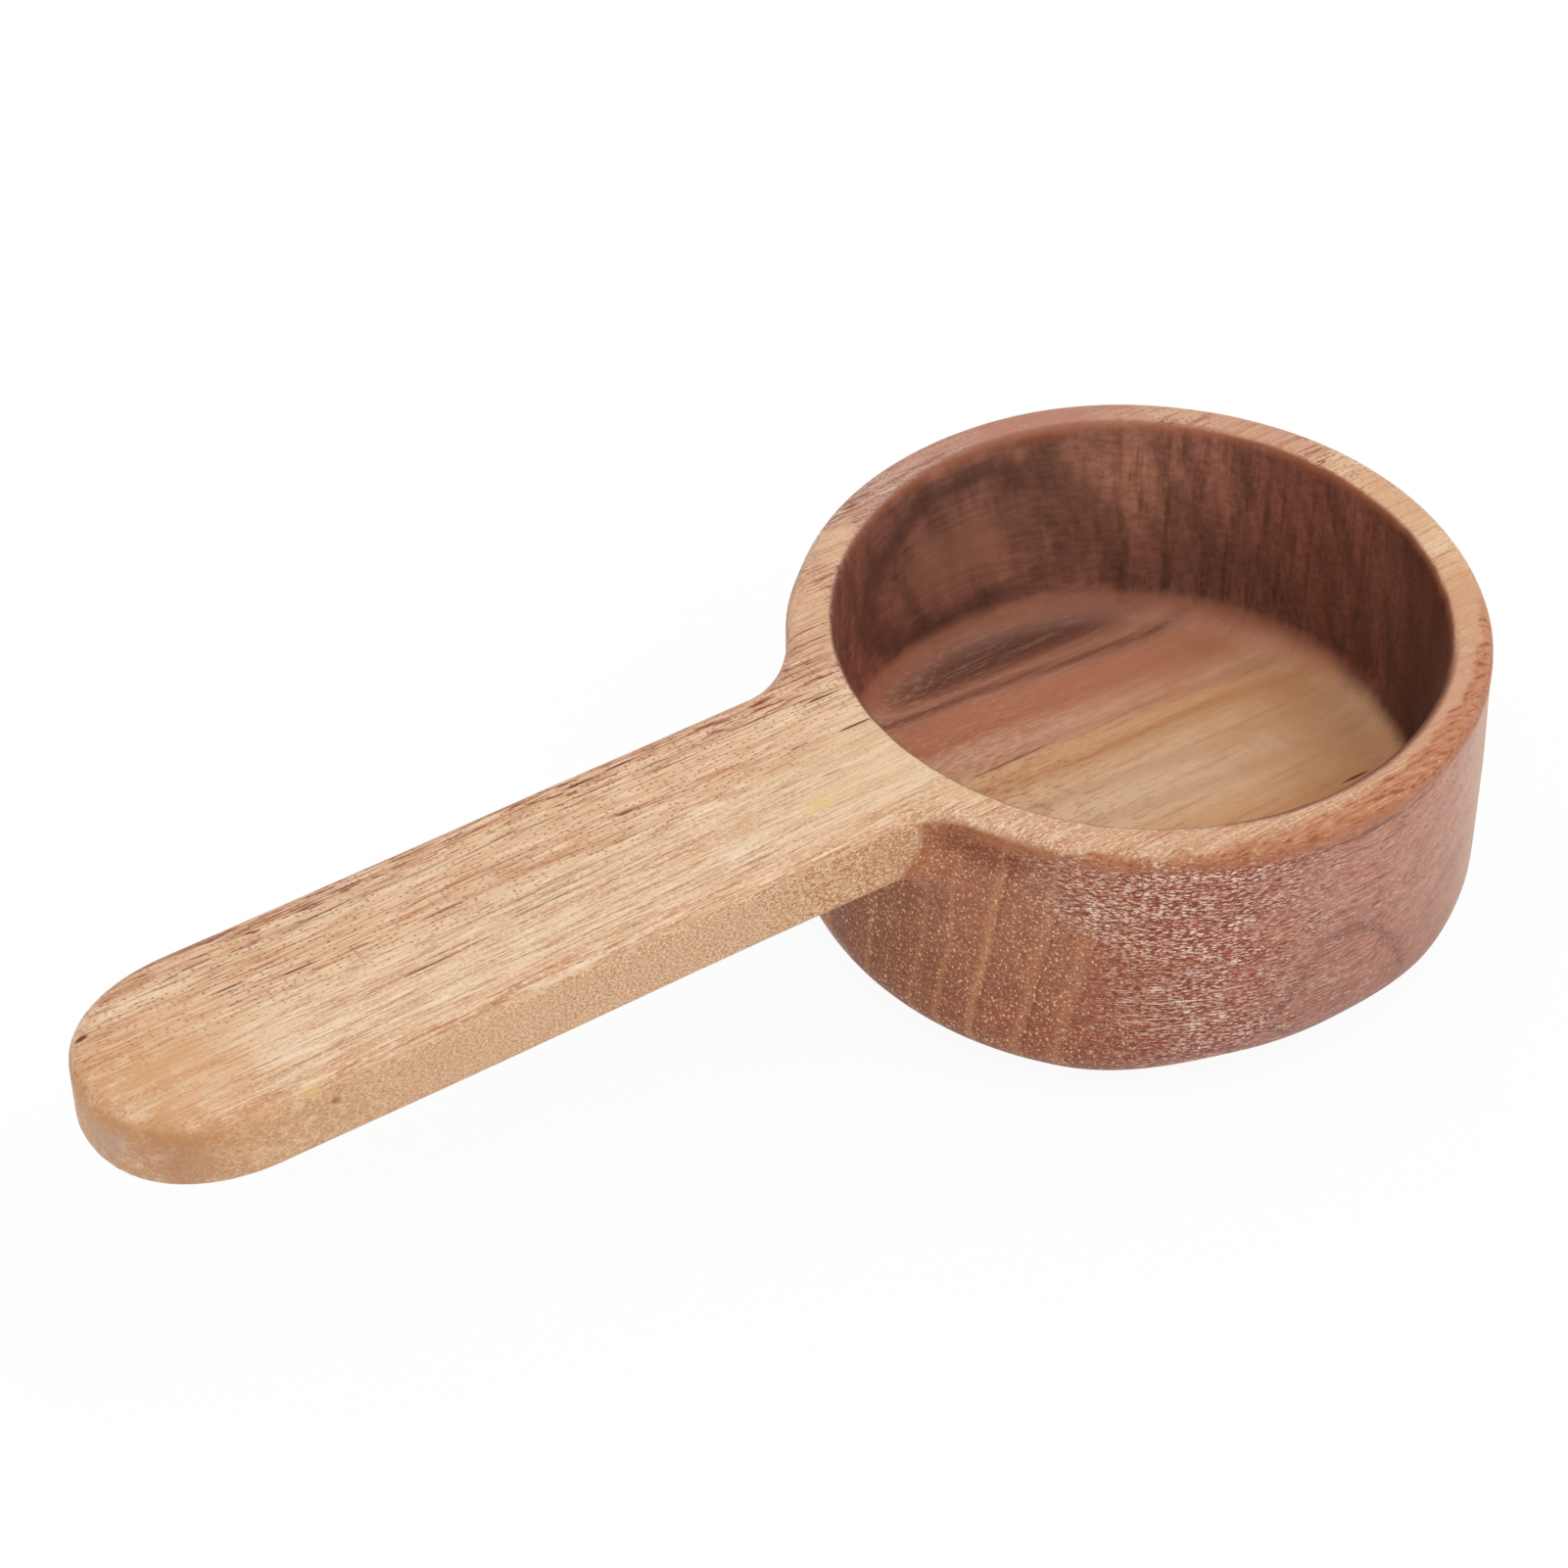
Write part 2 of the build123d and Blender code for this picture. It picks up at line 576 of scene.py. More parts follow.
@dataclass
class Studio:
    """A white studio with a pale floor, one broad soft lamp and the photograph's camera.

    Attributes:
        fill: Level of the even light from all round.
        lamp_level: How much the lamp adds on a face that looks at it.
    """

    fill: float = 0.76
    lamp_level: float = 0.31
    lamp_side: float = 0.55
    lamp_turn: float = 30.0
    lamp_rise: float = 70.0
    lamp_distance: float = 0.8
    floor_half: float = 1.5
    floor_grey: float = 0.86
    floor_own_white: float = 0.94
    camera_turn: float = -33.372
    camera_rise: float = 42.621
    camera_distance: float = 340.188
    aim: Triple = (-20.0, 0.0, 12.0)
    aim_right: float = -9.685
    aim_up: float = 4.308
    focal_pixels: float = 4699.063
    frame_pixels: float = 1601.0
    sensor: float = 36.0

    def build(self) -> None:
        """Sets up the camera, the world, the lamp and the floor."""
        self._camera()
        self._world()
        self._lamp()
        self._floor()
        bpy.context.scene.view_settings.view_transform = "Standard"

    @staticmethod
    def direction(turn: float, rise: float) -> Vector:
        """The way out from the spoon at a turn and a rise, in degrees."""
        a, e = math.radians(turn), math.radians(rise)
        return Vector((math.sin(a) * math.cos(e), -math.cos(a) * math.cos(e), math.sin(e)))

    def _camera(self) -> None:
        """Puts the camera where the photograph was taken from."""
        back = self.direction(self.camera_turn, self.camera_rise)
        a = math.radians(self.camera_turn)
        right = Vector((math.cos(a), math.sin(a), 0.0))
        up = back.cross(right)
        aim = Vector(self.aim) + right * self.aim_right + up * self.aim_up
        data = bpy.data.cameras.new("camera")
        data.sensor_width = self.sensor
        data.lens = self.focal_pixels / self.frame_pixels * self.sensor
        data.clip_start = 0.01
        camera = bpy.data.objects.new("camera", data)
        bpy.context.scene.collection.objects.link(camera)
        turned = Matrix((right, up, back)).transposed().to_4x4()
        camera.matrix_world = Matrix.Translation((aim + back * self.camera_distance) * MM) @ turned
        bpy.context.scene.camera = camera

    @staticmethod
    def _seen_directly(tree: Tree) -> Amount:
        """Tells rays that show the background, straight, mirrored or through glass, from the others.

        Args:
            tree: The tree that asks.

        Returns:
            One for such rays, and nothing for the others.
        """
        path = tree.nodes.new("ShaderNodeLightPath")
        names = ("Is Camera Ray", "Is Glossy Ray", "Is Transmission Ray")
        camera, glossy, through = (Amount(tree, path.outputs[name]) for name in names)
        return largest(largest(camera, glossy), through)

    def _world(self) -> None:
        """A white world: full white where it is seen, and a softer fill where it lights."""
        world = bpy.data.worlds.new("studio")
        world.use_nodes = True
        tree = world.node_tree
        background = tree.nodes["Background"]
        background.inputs["Color"].default_value = (1.0, 1.0, 1.0, 1.0)
        strength = self.fill + self._seen_directly(tree) * (1.0 - self.fill)
        feed(tree, background.inputs["Strength"], strength)
        bpy.context.scene.world = world

    def _lamp(self) -> None:
        """One broad square lamp, whose power gives the level wanted at the spoon."""
        data = bpy.data.lights.new("soft_lamp", "AREA")
        data.shape = "SQUARE"
        data.size = self.lamp_side
        data.energy = self.lamp_level * (math.pi * self.lamp_distance) ** 2
        lamp = bpy.data.objects.new("soft_lamp", data)
        bpy.context.scene.collection.objects.link(lamp)
        away = self.direction(self.lamp_turn, self.lamp_rise)
        lamp.location = away * self.lamp_distance
        lamp.rotation_euler = away.to_track_quat("Z", "Y").to_euler()

    def _floor(self) -> None:
        """A pale floor that is white where it is lit and keeps a soft shadow of the spoon."""
        reach = self.floor_half
        mesh = bpy.data.meshes.new("floor")
        corners = [(-reach, -reach, 0.0), (reach, -reach, 0.0), (reach, reach, 0.0), (-reach, reach, 0.0)]
        mesh.from_pydata(corners, [], [(0, 1, 2, 3)])
        floor = bpy.data.objects.new("floor", mesh)
        bpy.context.scene.collection.objects.link(floor)
        material = bpy.data.materials.new("pale_floor")
        material.use_nodes = True
        tree = material.node_tree
        tree.nodes.clear()
        grey, rest = self.floor_grey, 1.0 - self.floor_own_white
        lit = add(tree, "ShaderNodeBsdfDiffuse", {"Color": (grey, grey, grey, 1.0)})
        faint = add(tree, "ShaderNodeBsdfDiffuse", {"Color": (rest, rest, rest, 1.0)})
        glow = add(tree, "ShaderNodeEmission", {"Strength": self.floor_own_white})
        both = add(tree, "ShaderNodeAddShader", {0: faint.outputs[0], 1: glow.outputs[0]})
        shaders = {0: self._seen_directly(tree), 1: lit.outputs[0], 2: both.outputs[0]}
        choice = add(tree, "ShaderNodeMixShader", shaders)
        add(tree, "ShaderNodeOutputMaterial", {"Surface": choice.outputs[0]})
        mesh.materials.append(material)


class Shade(Enum):
    """The wood's colours, some of them painted shade and painted glints, as red, green and blue out of 255.
    """

    # Pale flecks in the grain, also used for the painted sheen at the bowl's right edge
    PALE_FLECK_AND_SHEEN = (246, 222, 194)
    SAND = (250, 220, 182)
    CREAM = (229, 194, 155)
    HONEY = (222, 179, 140)
    GOLD = (216, 168, 124)
    GOLD_BROWN = (204, 150, 107)
    TAN = (206, 156, 119)
    RIM_TAN = (202, 150, 121)
    ROSE_TAN = (207, 160, 130)
    ROSE_GREY = (190, 152, 137)
    ORANGE_BROWN = (182, 116, 78)
    AMBER = (204, 140, 84)
    TIP_BROWN = (184, 128, 92)
    # Painted glint along the top edge of the hollow's wall
    GLINT = (150, 80, 44)
    PALE_MAUVE = (190, 143, 124)
    MAUVE = (182, 124, 103)
    DUSK_MAUVE = (112, 62, 58)
    WINE_BROWN = (162, 80, 52)
    DEEP_RED_BROWN = (124, 58, 35)
    # Painted shade in the corner below the neck
    NECK_SHADE_BROWN = (134, 66, 38)
    END_BROWN = (142, 84, 57)
    END_TAN = (160, 98, 70)
    HOLLOW_OVAL = (172, 122, 98)
    HOLLOW_BACK = (160, 112, 93)
    HOLLOW_RED = (148, 93, 75)
    HOLLOW_SIDE = (142, 95, 80)
    HOLLOW_RIGHT = (128, 80, 64)
    HOLLOW_DARK = (88, 50, 40)
    FLOOR_CREAM = (234, 196, 158)
    FLOOR_GOLD = (226, 176, 130)
    FLOOR_AMBER = (214, 154, 106)
    FLOOR_PINK = (216, 164, 134)
    FLOOR_RUSSET = (196, 129, 98)
    FLOOR_BROWN = (184, 127, 102)
    FLOOR_DUSK = (132, 80, 64)
    # Dark heartwood with painted shade, where the floor meets the back wall
    FLOOR_DEEP = (98, 57, 46)
    FLOOR_GRAIN = (174, 108, 74)
    DARK_WALNUT = (84, 52, 47)
    LINE_BROWN = (130, 54, 26)
    # Brown of the grain's dark side, also the tint of the painted shade under the handle
    GRAIN_AND_SHADE_BROWN = (178, 112, 66)
    SLIT = (88, 30, 12)
    PORE = (150, 84, 50)
    SPECK = (242, 196, 154)
    # Pale torn fibres, and the painted glints on them
    PALE_FIBRE_AND_GLINT = (255, 230, 212)
    RING_LIGHT = (196, 134, 94)
    STRAW = (224, 190, 112)
    ASH = (194, 160, 143)

    @property
    def linear(self) -> tuple[float, float, float, float]:
        """The colour as the shader wants it."""
        parts = (part / 255 for part in self.value)
        lit = (p / 12.92 if p <= 0.04045 else ((p + 0.055) / 1.055) ** 2.4 for p in parts)
        return (*lit, 1.0)


@dataclass(frozen=True)
class Stripe:
    """One stop in a run of colours.

    Attributes:
        place: Where it lies, in millimetres across the billet or in degrees round the bowl.
        shade: Its colour.
    """

    place: float
    shade: Shade


@dataclass(frozen=True)
class RingLine:
    """One growth ring's edge where it shows as a line.

    Attributes:
        place: Where it lies across the billet at rim height.
        width: How far it fades out to each side.
        shade: Its colour.
        strength: How much of its colour shows, from 0 to 1.
    """

    place: float
    width: float
    shade: Shade
    strength: float


@dataclass(frozen=True)
class Patch:
    """One patch or mark of another colour, an egg-shaped piece of the wood with a frayed edge.

    Attributes:
        centre: Its middle.
        reach: Its half sizes along the three axes.
        shade: Its colour.
        strength: How much of its colour shows, from 0 to 1.
        soft: The share of its reach over which it fades out.
        frayed: How much its edge wanders.
    """

    centre: Triple
    reach: Triple
    shade: Shade
    strength: float
    soft: float = 0.8
    frayed: float = 1.4


def slit(x: float, y: float, length: float, width: float, strength: float) -> Patch:
    """One open vessel in the flat top, a thin dark line along the grain round x and y."""
    return Patch((x, y, RIM), (length / 2, width * 0.4, 1.2), Shade.SLIT, strength, 0.5, 1.3)


class Billet:
    """Where each point of the wood lies and which way it faces, ready for the material's rules."""

    def __init__(self, tree: Tree, spoon: CarvedSpoon, lean: float, seed: float) -> None:
        """Reads the place and the normal once.

        Args:
            tree: The material's tree.
            spoon: The carved spoon, for its sizes.
            lean: How far the growth rings lean across, for each millimetre down.
            seed: Offset of all the random patterns.
        """
        self.tree = tree
        self.spoon = spoon
        self.seed = seed
        source = tree.nodes.new("ShaderNodeTexCoord")
        self.place = self.reckon("SCALE", source.outputs["Object"], Scale=1 / MM).outputs[0]
        self.x, self.y, self.z = split(tree, self.place)
        self.up = split(tree, source.outputs["Normal"])[2]
        self.out = span(self.x, self.y)
        self.turn = calculate(tree, "ARCTAN2", self.y, self.x) * math.degrees(1.0)
        self.ragged = self.noise((0.4, 0.4, 0.4), detail=4.0, rough=0.65, shift=61.0) - 0.5
        drift = self.noise((0.12, 0.12, 0.12), detail=1.0, shift=11.0) - 0.5
        loose = ramp(self.x, -10.0, -20.0, 0.2, 1.2)
        self.rings = self.y + (self.z - spoon.bowl_height) * lean + drift * loose
        self.steep = ramp(self.up, 0.62, 0.3) * ramp(self.up, -0.98, -0.88)
        self.inside = self._inside()
        edge = ramp(self.z, 21.8, 19.2, 1.7, 2.8) + spoon.bowl_radius
        self.on_bowl = ramp(self.out + self.ragged * 0.7 - edge, 0.25, -0.25)
        self.outer_wall = self.steep * self.on_bowl * (1.0 - self.inside)
        self.fibre = self.noise((0.3, 6.5, 6.5), detail=2.0, rough=0.6, shift=71.0)
        gap, pick = self.cells((1.9, 3.0, 3.0), flat=True)
        level = (1.0 - self.steep) * (1.0 - self.inside)
        self.pits = ramp(gap, 0.36, 0.1) * ramp(pick, 0.2, 1.0, 0.1, 0.9) * level

    def reckon(self, operation: str, *vectors: object, **scalars: Number) -> bpy.types.Node:
        """Adds one node of vector arithmetic.

        Args:
            operation: The node's operation, by its own name.
            *vectors: Its vectors in order, each an output socket or three plain numbers.
            **scalars: Its plain inputs, by name.

        Returns:
            The node.
        """
        inputs = dict(enumerate(vectors)) | scalars
        return add(self.tree, "ShaderNodeVectorMath", inputs, operation=operation)

    def _inside(self) -> Amount:
        """One in the measuring hollow, nothing elsewhere."""
        spoon = self.spoon
        edge = spoon.bowl_radius - spoon.wall_thickness + spoon.rim_inner_radius
        above_foot = ramp(self.z, spoon.floor_thickness * 0.4, spoon.floor_thickness * 0.7)
        return ramp(self.out + self.ragged * 0.3, edge - 0.2, edge - 0.55) * above_foot

    def noise(
        self,
        scale: Triple,
        detail: float = 2.0,
        rough: float = 0.5,
        shift: float = 0.0,
        place: Socket | None = None,
    ) -> Amount:
        """Smooth random values from 0 to 1.

        Args:
            scale: Features for each millimetre along the three axes.
            detail: How many finer layers are added.
            rough: How strong those layers are.
            shift: Makes this pattern differ from the others.
            place: Where it is asked, if that isn't the place itself.

        Returns:
            The values, about 0.5 on average.
        """
        offset = (shift, shift, self.seed)
        where = self.reckon("MULTIPLY_ADD", place or self.place, scale, offset).outputs[0]
        inputs = {"Vector": where, "Scale": 1.0, "Detail": detail, "Roughness": rough}
        return Amount(self.tree, add(self.tree, "ShaderNodeTexNoise", inputs).outputs[0])

    def cells(self, scale: Triple, shift: float = 0.0, flat: bool = False) -> tuple[Amount, Amount]:
        """Scattered cells, for pores.

        Args:
            scale: Cells for each millimetre along the three axes.
            shift: Makes this pattern differ from the others.
            flat: Whether the cells are the same at every height.

        Returns:
            The distance from the nearest cell's middle, and a random value for that cell.
        """
        where = self.reckon("MULTIPLY_ADD", self.place, scale, (shift, shift, self.seed)).outputs[0]
        inputs = {"Vector": where, "Scale": 1.0}
        size = "2D" if flat else "3D"
        node = add(self.tree, "ShaderNodeTexVoronoi", inputs, voronoi_dimensions=size)
        pick = split(self.tree, node.outputs["Color"])[0]
        return Amount(self.tree, node.outputs["Distance"]), pick

    def within(self, patch: Patch) -> Amount:
        """How much a patch shows at each place.

        Args:
            patch: The patch.

        Returns:
            A share from 0 to the patch's strength.
        """
        offset = self.reckon("SUBTRACT", self.place, patch.centre).outputs[0]
        scaled = self.reckon("DIVIDE", offset, patch.reach).outputs[0]
        away = Amount(self.tree, self.reckon("LENGTH", scaled).outputs["Value"])
        return ramp(away + self.ragged * patch.frayed, 1.0, 1.0 - patch.soft) * patch.strength


@dataclass(frozen=True)
class Colour:
    """A colour that changes over the wood, with the ways a finish is built up on it.

    Attributes:
        tree: The material's tree.
        socket: The output socket that gives the colour.
    """

    tree: Tree
    socket: Socket

    @classmethod
    def striped(cls, across: Amount, stripes: tuple[Stripe, ...]) -> Colour:
        """A run of colours.

        Args:
            across: The place along the run.
            stripes: The stops, in order.

        Returns:
            The colour.
        """
        tree = across.tree
        first, last = stripes[0].place, stripes[-1].place
        node = add(tree, "ShaderNodeValToRGB", {0: (across - first) / (last - first)})
        stops = node.color_ramp.elements
        while len(stops) < len(stripes):
            stops.new(0.5)
        for stop, stripe in zip(stops, stripes):
            stop.position = (stripe.place - first) / (last - first)
        for stop, stripe in zip(stops, stripes):
            stop.color = stripe.shade.linear
        return cls(tree, node.outputs[0])

    def tinted(self, other: Colour | Shade, share: Number) -> Colour:
        """Mixes in another colour.

        Args:
            other: The colour that is mixed in.
            share: How much of it, from 0 to 1.

        Returns:
            The mixed colour.
        """
        mixed_in = other.linear if isinstance(other, Shade) else other.socket
        inputs = {0: share, 6: self.socket, 7: mixed_in}
        node = add(self.tree, "ShaderNodeMix", inputs, data_type="RGBA")
        return Colour(self.tree, node.outputs[2])

    def lit(self, level: Amount) -> Colour:
        """Makes the colour lighter or darker by a factor."""
        node = add(self.tree, "ShaderNodeVectorMath", {0: self.socket, "Scale": level}, operation="SCALE")
        return Colour(self.tree, node.outputs[0])

    def grained(
        self, value: Amount, dark: Shade, pale: Shade, depth: Number, spread: float = 0.2
    ) -> Colour:
        """Mixes in a dark shade where a random value is low, and a pale one where it is high.

        Args:
            value: The random value, about 0.5 on average.
            dark: The shade at its low side.
            pale: The shade at its high side.
            depth: The largest share of either.
            spread: How far from the average the share is full.

        Returns:
            The grained colour.
        """
        darker = self.tinted(dark, ramp(value, 0.5, 0.5 - spread) * depth)
        return darker.tinted(pale, ramp(value, 0.5, 0.5 + spread) * depth)

    def patched(self, billet: Billet, patches: tuple[Patch, ...], where: Number = 1.0) -> Colour:
        """Lays patches over the colour.

        Args:
            billet: The wood's places.
            patches: The patches, lowest first.
            where: How much they may show, from 0 to 1.

        Returns:
            The colour with the patches on it.
        """
        colour = self
        for patch in patches:
            colour = colour.tinted(patch.shade, billet.within(patch) * where)
        return colour


@dataclass(frozen=True)
class OiledHardwood:
    """The oiled, satin hardwood: rings, heartwood, end grain, pores, slits and handling marks, with some
    painted shade, glints and sheen.

    Attributes:
        name: The material's name.
        seed: Start of all its random patterns.
        ring_lean: How far the growth rings lean across, for each millimetre down.
        shine: Level of the mirror reflection.
        smoothest: Roughness of its smoothest fibres.
        roughest: Roughness of its roughest fibres.
        relief_depth: Depth of the fibres and pores that can be felt.
        flat_stripes: Colours of the flat top, across the handle.
        side_stripes: Colours of the handle's side, along the handle.
        floor_stripes: Colours of the hollow's floor, across the handle; the darkest, at the back, are dark
            heartwood and painted shade.
        outer_turns: Colours of the bowl's wall, round it.
        inner_turns: Colours of the hollow's wall, round it.
        floor_rings: Darker ring edges on the floor, across the handle.
        floor_lean: How far the floor's stripes lean across, for each millimetre along.
        oval_middle: Middle of the pale oval on the hollow's back wall, along and up.
        oval_radii: Its two radii.
        swirl_ring: Where the dark ring about it lies, in such radii.
        crack_turns: Where the fine crack in the wall starts and stops falling.
        crack_heights: Its height before and after that.
        end_grain_from: Where the end grain by the handle begins, and where it is full. This and the
            next three are turns to either side of the far end.
        far_end_until: Where the end grain at the far end is gone, and where it is full.
        long_grain_from: Where the long grain of the flanks begins, and where it is full.
        long_grain_until: Where it is gone again, and where it is full.
        worn_from: Where the wall's worn part begins, and where it is full.
        worn_until: Where it is gone again, and where it is full.
        band_turn: Middle of the burnished band on the rim.
        widest_turn: Where that band is widest.
        band_widths: Its least and greatest width.
        mouth_turns: Middles of the painted shade along the mouth's eased edge, at the front and at the
            back.
        floor_seam: Heights between which the floor's look passes into the wall's.
        foot_height: Height of the reddish line along the foot of the hollow's wall.
        foot_turn: Middle of that line.
        ring_lines: Ring edges on the bowl's wall.
        slits: Open vessels in the flat top.
        top_patches: Patches of other colours on the top.
        side_patches: Patches on the handle's side.
        wall_patches: Patches on the bowl's wall.
        neck_shade_patch: Painted shade below the neck, in the corner where the handle meets the bowl's
            wall.
        floor_patches: Patches on the hollow's floor.
    """

    name: str = "oiled_hardwood"
    seed: float = 3.0
    ring_lean: float = 0.1035
    shine: float = 0.3
    smoothest: float = 0.46
    roughest: float = 0.62
    relief_depth: float = 0.06
    flat_stripes: tuple[Stripe, ...] = (
        Stripe(-26.0, Shade.TAN), Stripe(-13.0, Shade.TAN),
        Stripe(-8.9, Shade.GOLD), Stripe(-7.4, Shade.HONEY),
        Stripe(-6.0, Shade.CREAM), Stripe(-3.6, Shade.CREAM),
        Stripe(-2.6, Shade.HONEY), Stripe(-1.2, Shade.CREAM),
        Stripe(0.2, Shade.CREAM), Stripe(1.6, Shade.HONEY),
        Stripe(3.5, Shade.HONEY), Stripe(5.4, Shade.CREAM),
        Stripe(6.8, Shade.HONEY), Stripe(9.0, Shade.ROSE_TAN),
        Stripe(19.0, Shade.ROSE_TAN), Stripe(23.0, Shade.ROSE_GREY),
        Stripe(26.0, Shade.MAUVE),
    )
    side_stripes: tuple[Stripe, ...] = (
        Stripe(-88.0, Shade.GOLD_BROWN), Stripe(-78.0, Shade.GOLD),
        Stripe(-60.0, Shade.HONEY), Stripe(-40.0, Shade.HONEY),
        Stripe(-28.0, Shade.GOLD_BROWN),
    )
    floor_stripes: tuple[Stripe, ...] = (
        Stripe(-22.0, Shade.FLOOR_AMBER), Stripe(-7.0, Shade.FLOOR_AMBER),
        Stripe(-4.0, Shade.FLOOR_GOLD), Stripe(-1.0, Shade.FLOOR_CREAM),
        Stripe(2.6, Shade.FLOOR_CREAM), Stripe(5.8, Shade.FLOOR_GOLD),
        Stripe(6.2, Shade.FLOOR_AMBER), Stripe(7.2, Shade.FLOOR_GOLD),
        Stripe(8.8, Shade.FLOOR_PINK), Stripe(10.0, Shade.FLOOR_PINK),
        Stripe(12.5, Shade.FLOOR_RUSSET), Stripe(14.6, Shade.FLOOR_RUSSET),
        Stripe(15.6, Shade.FLOOR_BROWN), Stripe(16.3, Shade.FLOOR_DUSK),
        Stripe(17.2, Shade.FLOOR_BROWN), Stripe(18.4, Shade.FLOOR_DUSK),
        # The darkest stops are partly dark heartwood and partly painted shade where the floor meets the
        # back wall.
        Stripe(19.4, Shade.FLOOR_DEEP), Stripe(22.6, Shade.FLOOR_DEEP),
    )
    outer_turns: tuple[Stripe, ...] = (
        Stripe(-180.0, Shade.END_BROWN), Stripe(-168.0, Shade.END_BROWN),
        Stripe(-156.0, Shade.END_TAN), Stripe(-140.0, Shade.END_TAN),
        Stripe(-128.0, Shade.WINE_BROWN), Stripe(-108.0, Shade.WINE_BROWN),
        Stripe(-97.0, Shade.MAUVE), Stripe(-84.0, Shade.MAUVE),
        Stripe(-60.0, Shade.PALE_MAUVE), Stripe(-20.0, Shade.MAUVE),
        Stripe(90.0, Shade.MAUVE), Stripe(150.0, Shade.END_TAN),
        Stripe(180.0, Shade.END_BROWN),
    )
    inner_turns: tuple[Stripe, ...] = (
        Stripe(-180.0, Shade.HOLLOW_RIGHT), Stripe(-60.0, Shade.HOLLOW_DARK),
        Stripe(-16.0, Shade.HOLLOW_DARK), Stripe(-2.0, Shade.HOLLOW_RIGHT),
        Stripe(15.0, Shade.HOLLOW_RIGHT), Stripe(34.0, Shade.HOLLOW_SIDE),
        Stripe(50.0, Shade.HOLLOW_BACK), Stripe(90.0, Shade.HOLLOW_BACK),
        Stripe(105.0, Shade.HOLLOW_SIDE), Stripe(120.0, Shade.HOLLOW_RED),
        Stripe(150.0, Shade.HOLLOW_RIGHT), Stripe(180.0, Shade.HOLLOW_RIGHT),
    )
    floor_rings: tuple[float, ...] = (12.3, 8.7, 5.8, 2.5, -1.0)
    floor_lean: float = 0.085
    oval_middle: tuple[float, float] = (-0.4, 15.2)
    oval_radii: tuple[float, float] = (7.0, 4.6)
    swirl_ring: float = 1.5
    crack_turns: tuple[float, float] = (-98.0, -114.0)
    crack_heights: tuple[float, float] = (22.7, 18.2)
    end_grain_from: tuple[float, float] = (112.0, 134.0)
    far_end_until: tuple[float, float] = (45.0, 20.0)
    long_grain_from: tuple[float, float] = (30.0, 60.0)
    long_grain_until: tuple[float, float] = (118.0, 98.0)
    worn_from: tuple[float, float] = (-141.0, -124.0)
    worn_until: tuple[float, float] = (-92.0, -112.0)
    band_turn: float = -92.0
    widest_turn: float = -70.0
    band_widths: tuple[float, float] = (0.5, 2.0)
    mouth_turns: tuple[float, float] = (-76.0, 75.0)
    floor_seam: tuple[float, float] = (6.4, 7.9)
    foot_height: float = 7.2
    foot_turn: float = 65.0
    ring_lines: tuple[RingLine, ...] = (
        RingLine(25.2, 0.16, Shade.DUSK_MAUVE, 0.45), RingLine(24.6, 0.2, Shade.DUSK_MAUVE, 0.35),
        RingLine(20.5, 0.6, Shade.RING_LIGHT, 0.4), RingLine(15.0, 0.5, Shade.RING_LIGHT, 0.5),
        RingLine(10.5, 0.4, Shade.RING_LIGHT, 0.4), RingLine(6.0, 0.4, Shade.RING_LIGHT, 0.4),
        RingLine(0.5, 0.5, Shade.RING_LIGHT, 0.45), RingLine(-4.5, 0.4, Shade.RING_LIGHT, 0.4),
        RingLine(-9.1, 0.4, Shade.RING_LIGHT, 0.45), RingLine(-11.2, 0.4, Shade.RING_LIGHT, 0.55),
        RingLine(-13.9, 0.55, Shade.RING_LIGHT, 0.8), RingLine(-14.4, 0.2, Shade.DEEP_RED_BROWN, 0.4),
        RingLine(-17.1, 0.6, Shade.RING_LIGHT, 0.45),
        RingLine(-17.65, 0.14, Shade.DEEP_RED_BROWN, 0.55),
        RingLine(-19.4, 0.7, Shade.RING_LIGHT, 0.45), RingLine(-20.0, 0.14, Shade.DEEP_RED_BROWN, 0.4),
        RingLine(-27.13, 0.17, Shade.DUSK_MAUVE, 0.5),
    )
    slits: tuple[Patch, ...] = (
        slit(-85.2, 4.0, 1.1, 0.6, 1.0), slit(-74.7, 2.8, 3.2, 0.26, 0.8),
        slit(-74.9, 1.25, 1.8, 0.26, 0.7), slit(-69.9, 1.85, 4.6, 0.3, 0.9),
        slit(-65.9, 1.4, 4.2, 0.3, 0.6), slit(-58.8, 1.35, 4.6, 0.3, 0.6),
        slit(-64.5, 7.05, 9.0, 0.3, 0.8), slit(-57.5, 7.5, 6.0, 0.34, 0.7),
        slit(-67.0, 5.7, 17.0, 0.3, 0.55), slit(-62.0, -2.8, 5.5, 0.36, 0.6),
        slit(-53.4, -1.9, 7.0, 0.3, 0.55), slit(-44.2, 7.15, 4.4, 0.36, 1.0),
        slit(-41.0, 7.3, 3.0, 0.26, 0.9), slit(-48.5, 5.2, 6.0, 0.22, 0.55),
        slit(-43.1, 2.8, 1.6, 0.36, 0.8), slit(-25.2, 5.4, 4.8, 0.3, 0.9),
        slit(-29.1, 1.85, 2.0, 0.3, 0.8), slit(-24.4, 1.6, 3.6, 0.28, 0.9),
        slit(-28.6, -1.7, 2.4, 0.34, 0.5), slit(-22.5, 11.0, 6.0, 0.26, 0.75),
        slit(-22.0, 12.2, 6.0, 0.26, 0.75),
    )
